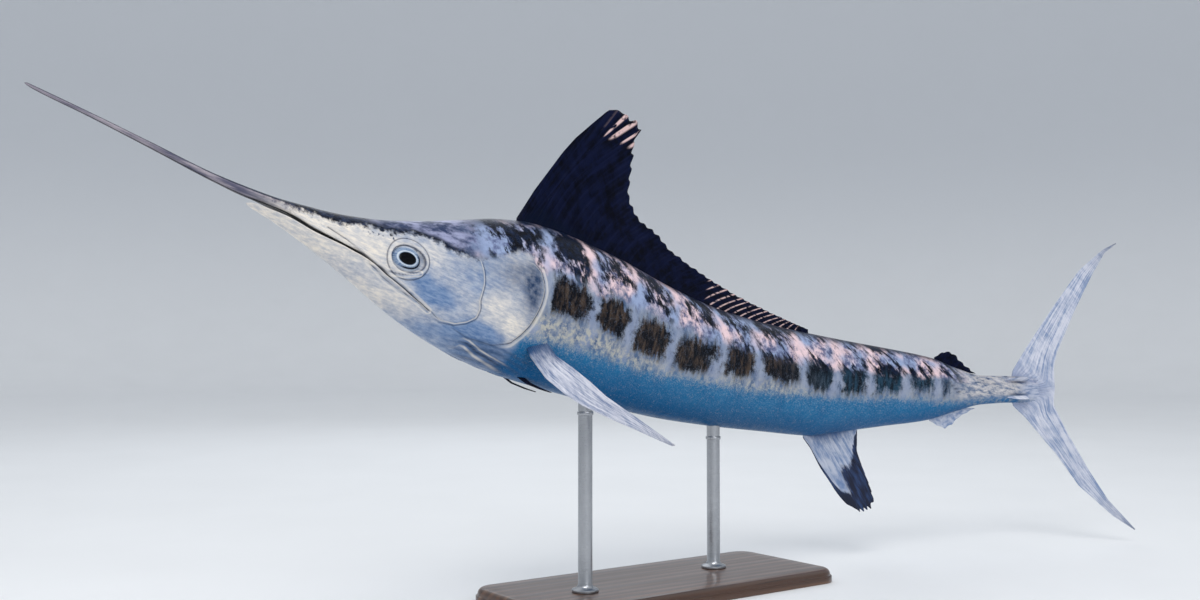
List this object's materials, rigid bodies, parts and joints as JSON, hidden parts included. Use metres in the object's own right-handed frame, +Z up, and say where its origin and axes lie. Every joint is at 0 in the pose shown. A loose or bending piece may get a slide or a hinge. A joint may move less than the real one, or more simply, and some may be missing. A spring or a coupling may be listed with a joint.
{
  "type": "marlin display model",
  "caption": "Life-size model of a swimming marlin, tail swept to its left and mouth slightly open, held by two upright rods on a flat base.",
  "frame": {"origin": "middle of the stand base's underside", "axes": "+Z up; the straight line from the lower jaw's tip to the tail's fork lies over X with the head towards -X, so the fish's left side faces -Y; -Z is the underside's outward normal"},
  "size_m": [2.0518, 0.346, 0.7669],
  "materials": {
    "back_skin": "wet dark blue skin with pale dapples, bars and blotches",
    "silver_skin": "wet silvery skin",
    "bill_skin": "grey-brown horn, satin",
    "dark_fin": "near-black navy fin, satin",
    "pale_fin": "pale lavender fin, satin",
    "eye": "polished",
    "stand_wood": "dark satin lacquer",
    "stand_steel": "satin brushed"
  },
  "bodies": {
    "root": {"head": "silver_skin", "bill": "bill_skin", "lower_jaw": "silver_skin", "eye_left": "eye", "eye_right": "eye", "gill_cover_left": "silver_skin", "gill_cover_right": "silver_skin", "gill_membrane_left": "silver_skin", "gill_membrane_right": "silver_skin", "torso_front": "back_skin", "torso_rear": "back_skin", "tail_stock": "back_skin", "caudal_peduncle": "silver_skin", "dorsal_fin_lobe": "dark_fin", "dorsal_fin_rear": "dark_fin", "second_dorsal_fin": "dark_fin", "anal_fin_first": "pale_fin", "anal_fin_second": "pale_fin", "caudal_fin_upper": "pale_fin", "caudal_fin_lower": "pale_fin", "pectoral_fin_left": "pale_fin", "pectoral_fin_right": "pale_fin", "pelvic_fin_left": "dark_fin", "pelvic_fin_right": "dark_fin", "caudal_keel_left_upper": "silver_skin", "caudal_keel_left_lower": "silver_skin", "caudal_keel_right_upper": "silver_skin", "caudal_keel_right_lower": "silver_skin", "stand_base": "stand_wood", "stand_rod_front": "stand_steel", "stand_rod_rear": "stand_steel"}
  },
  "joints": []
}
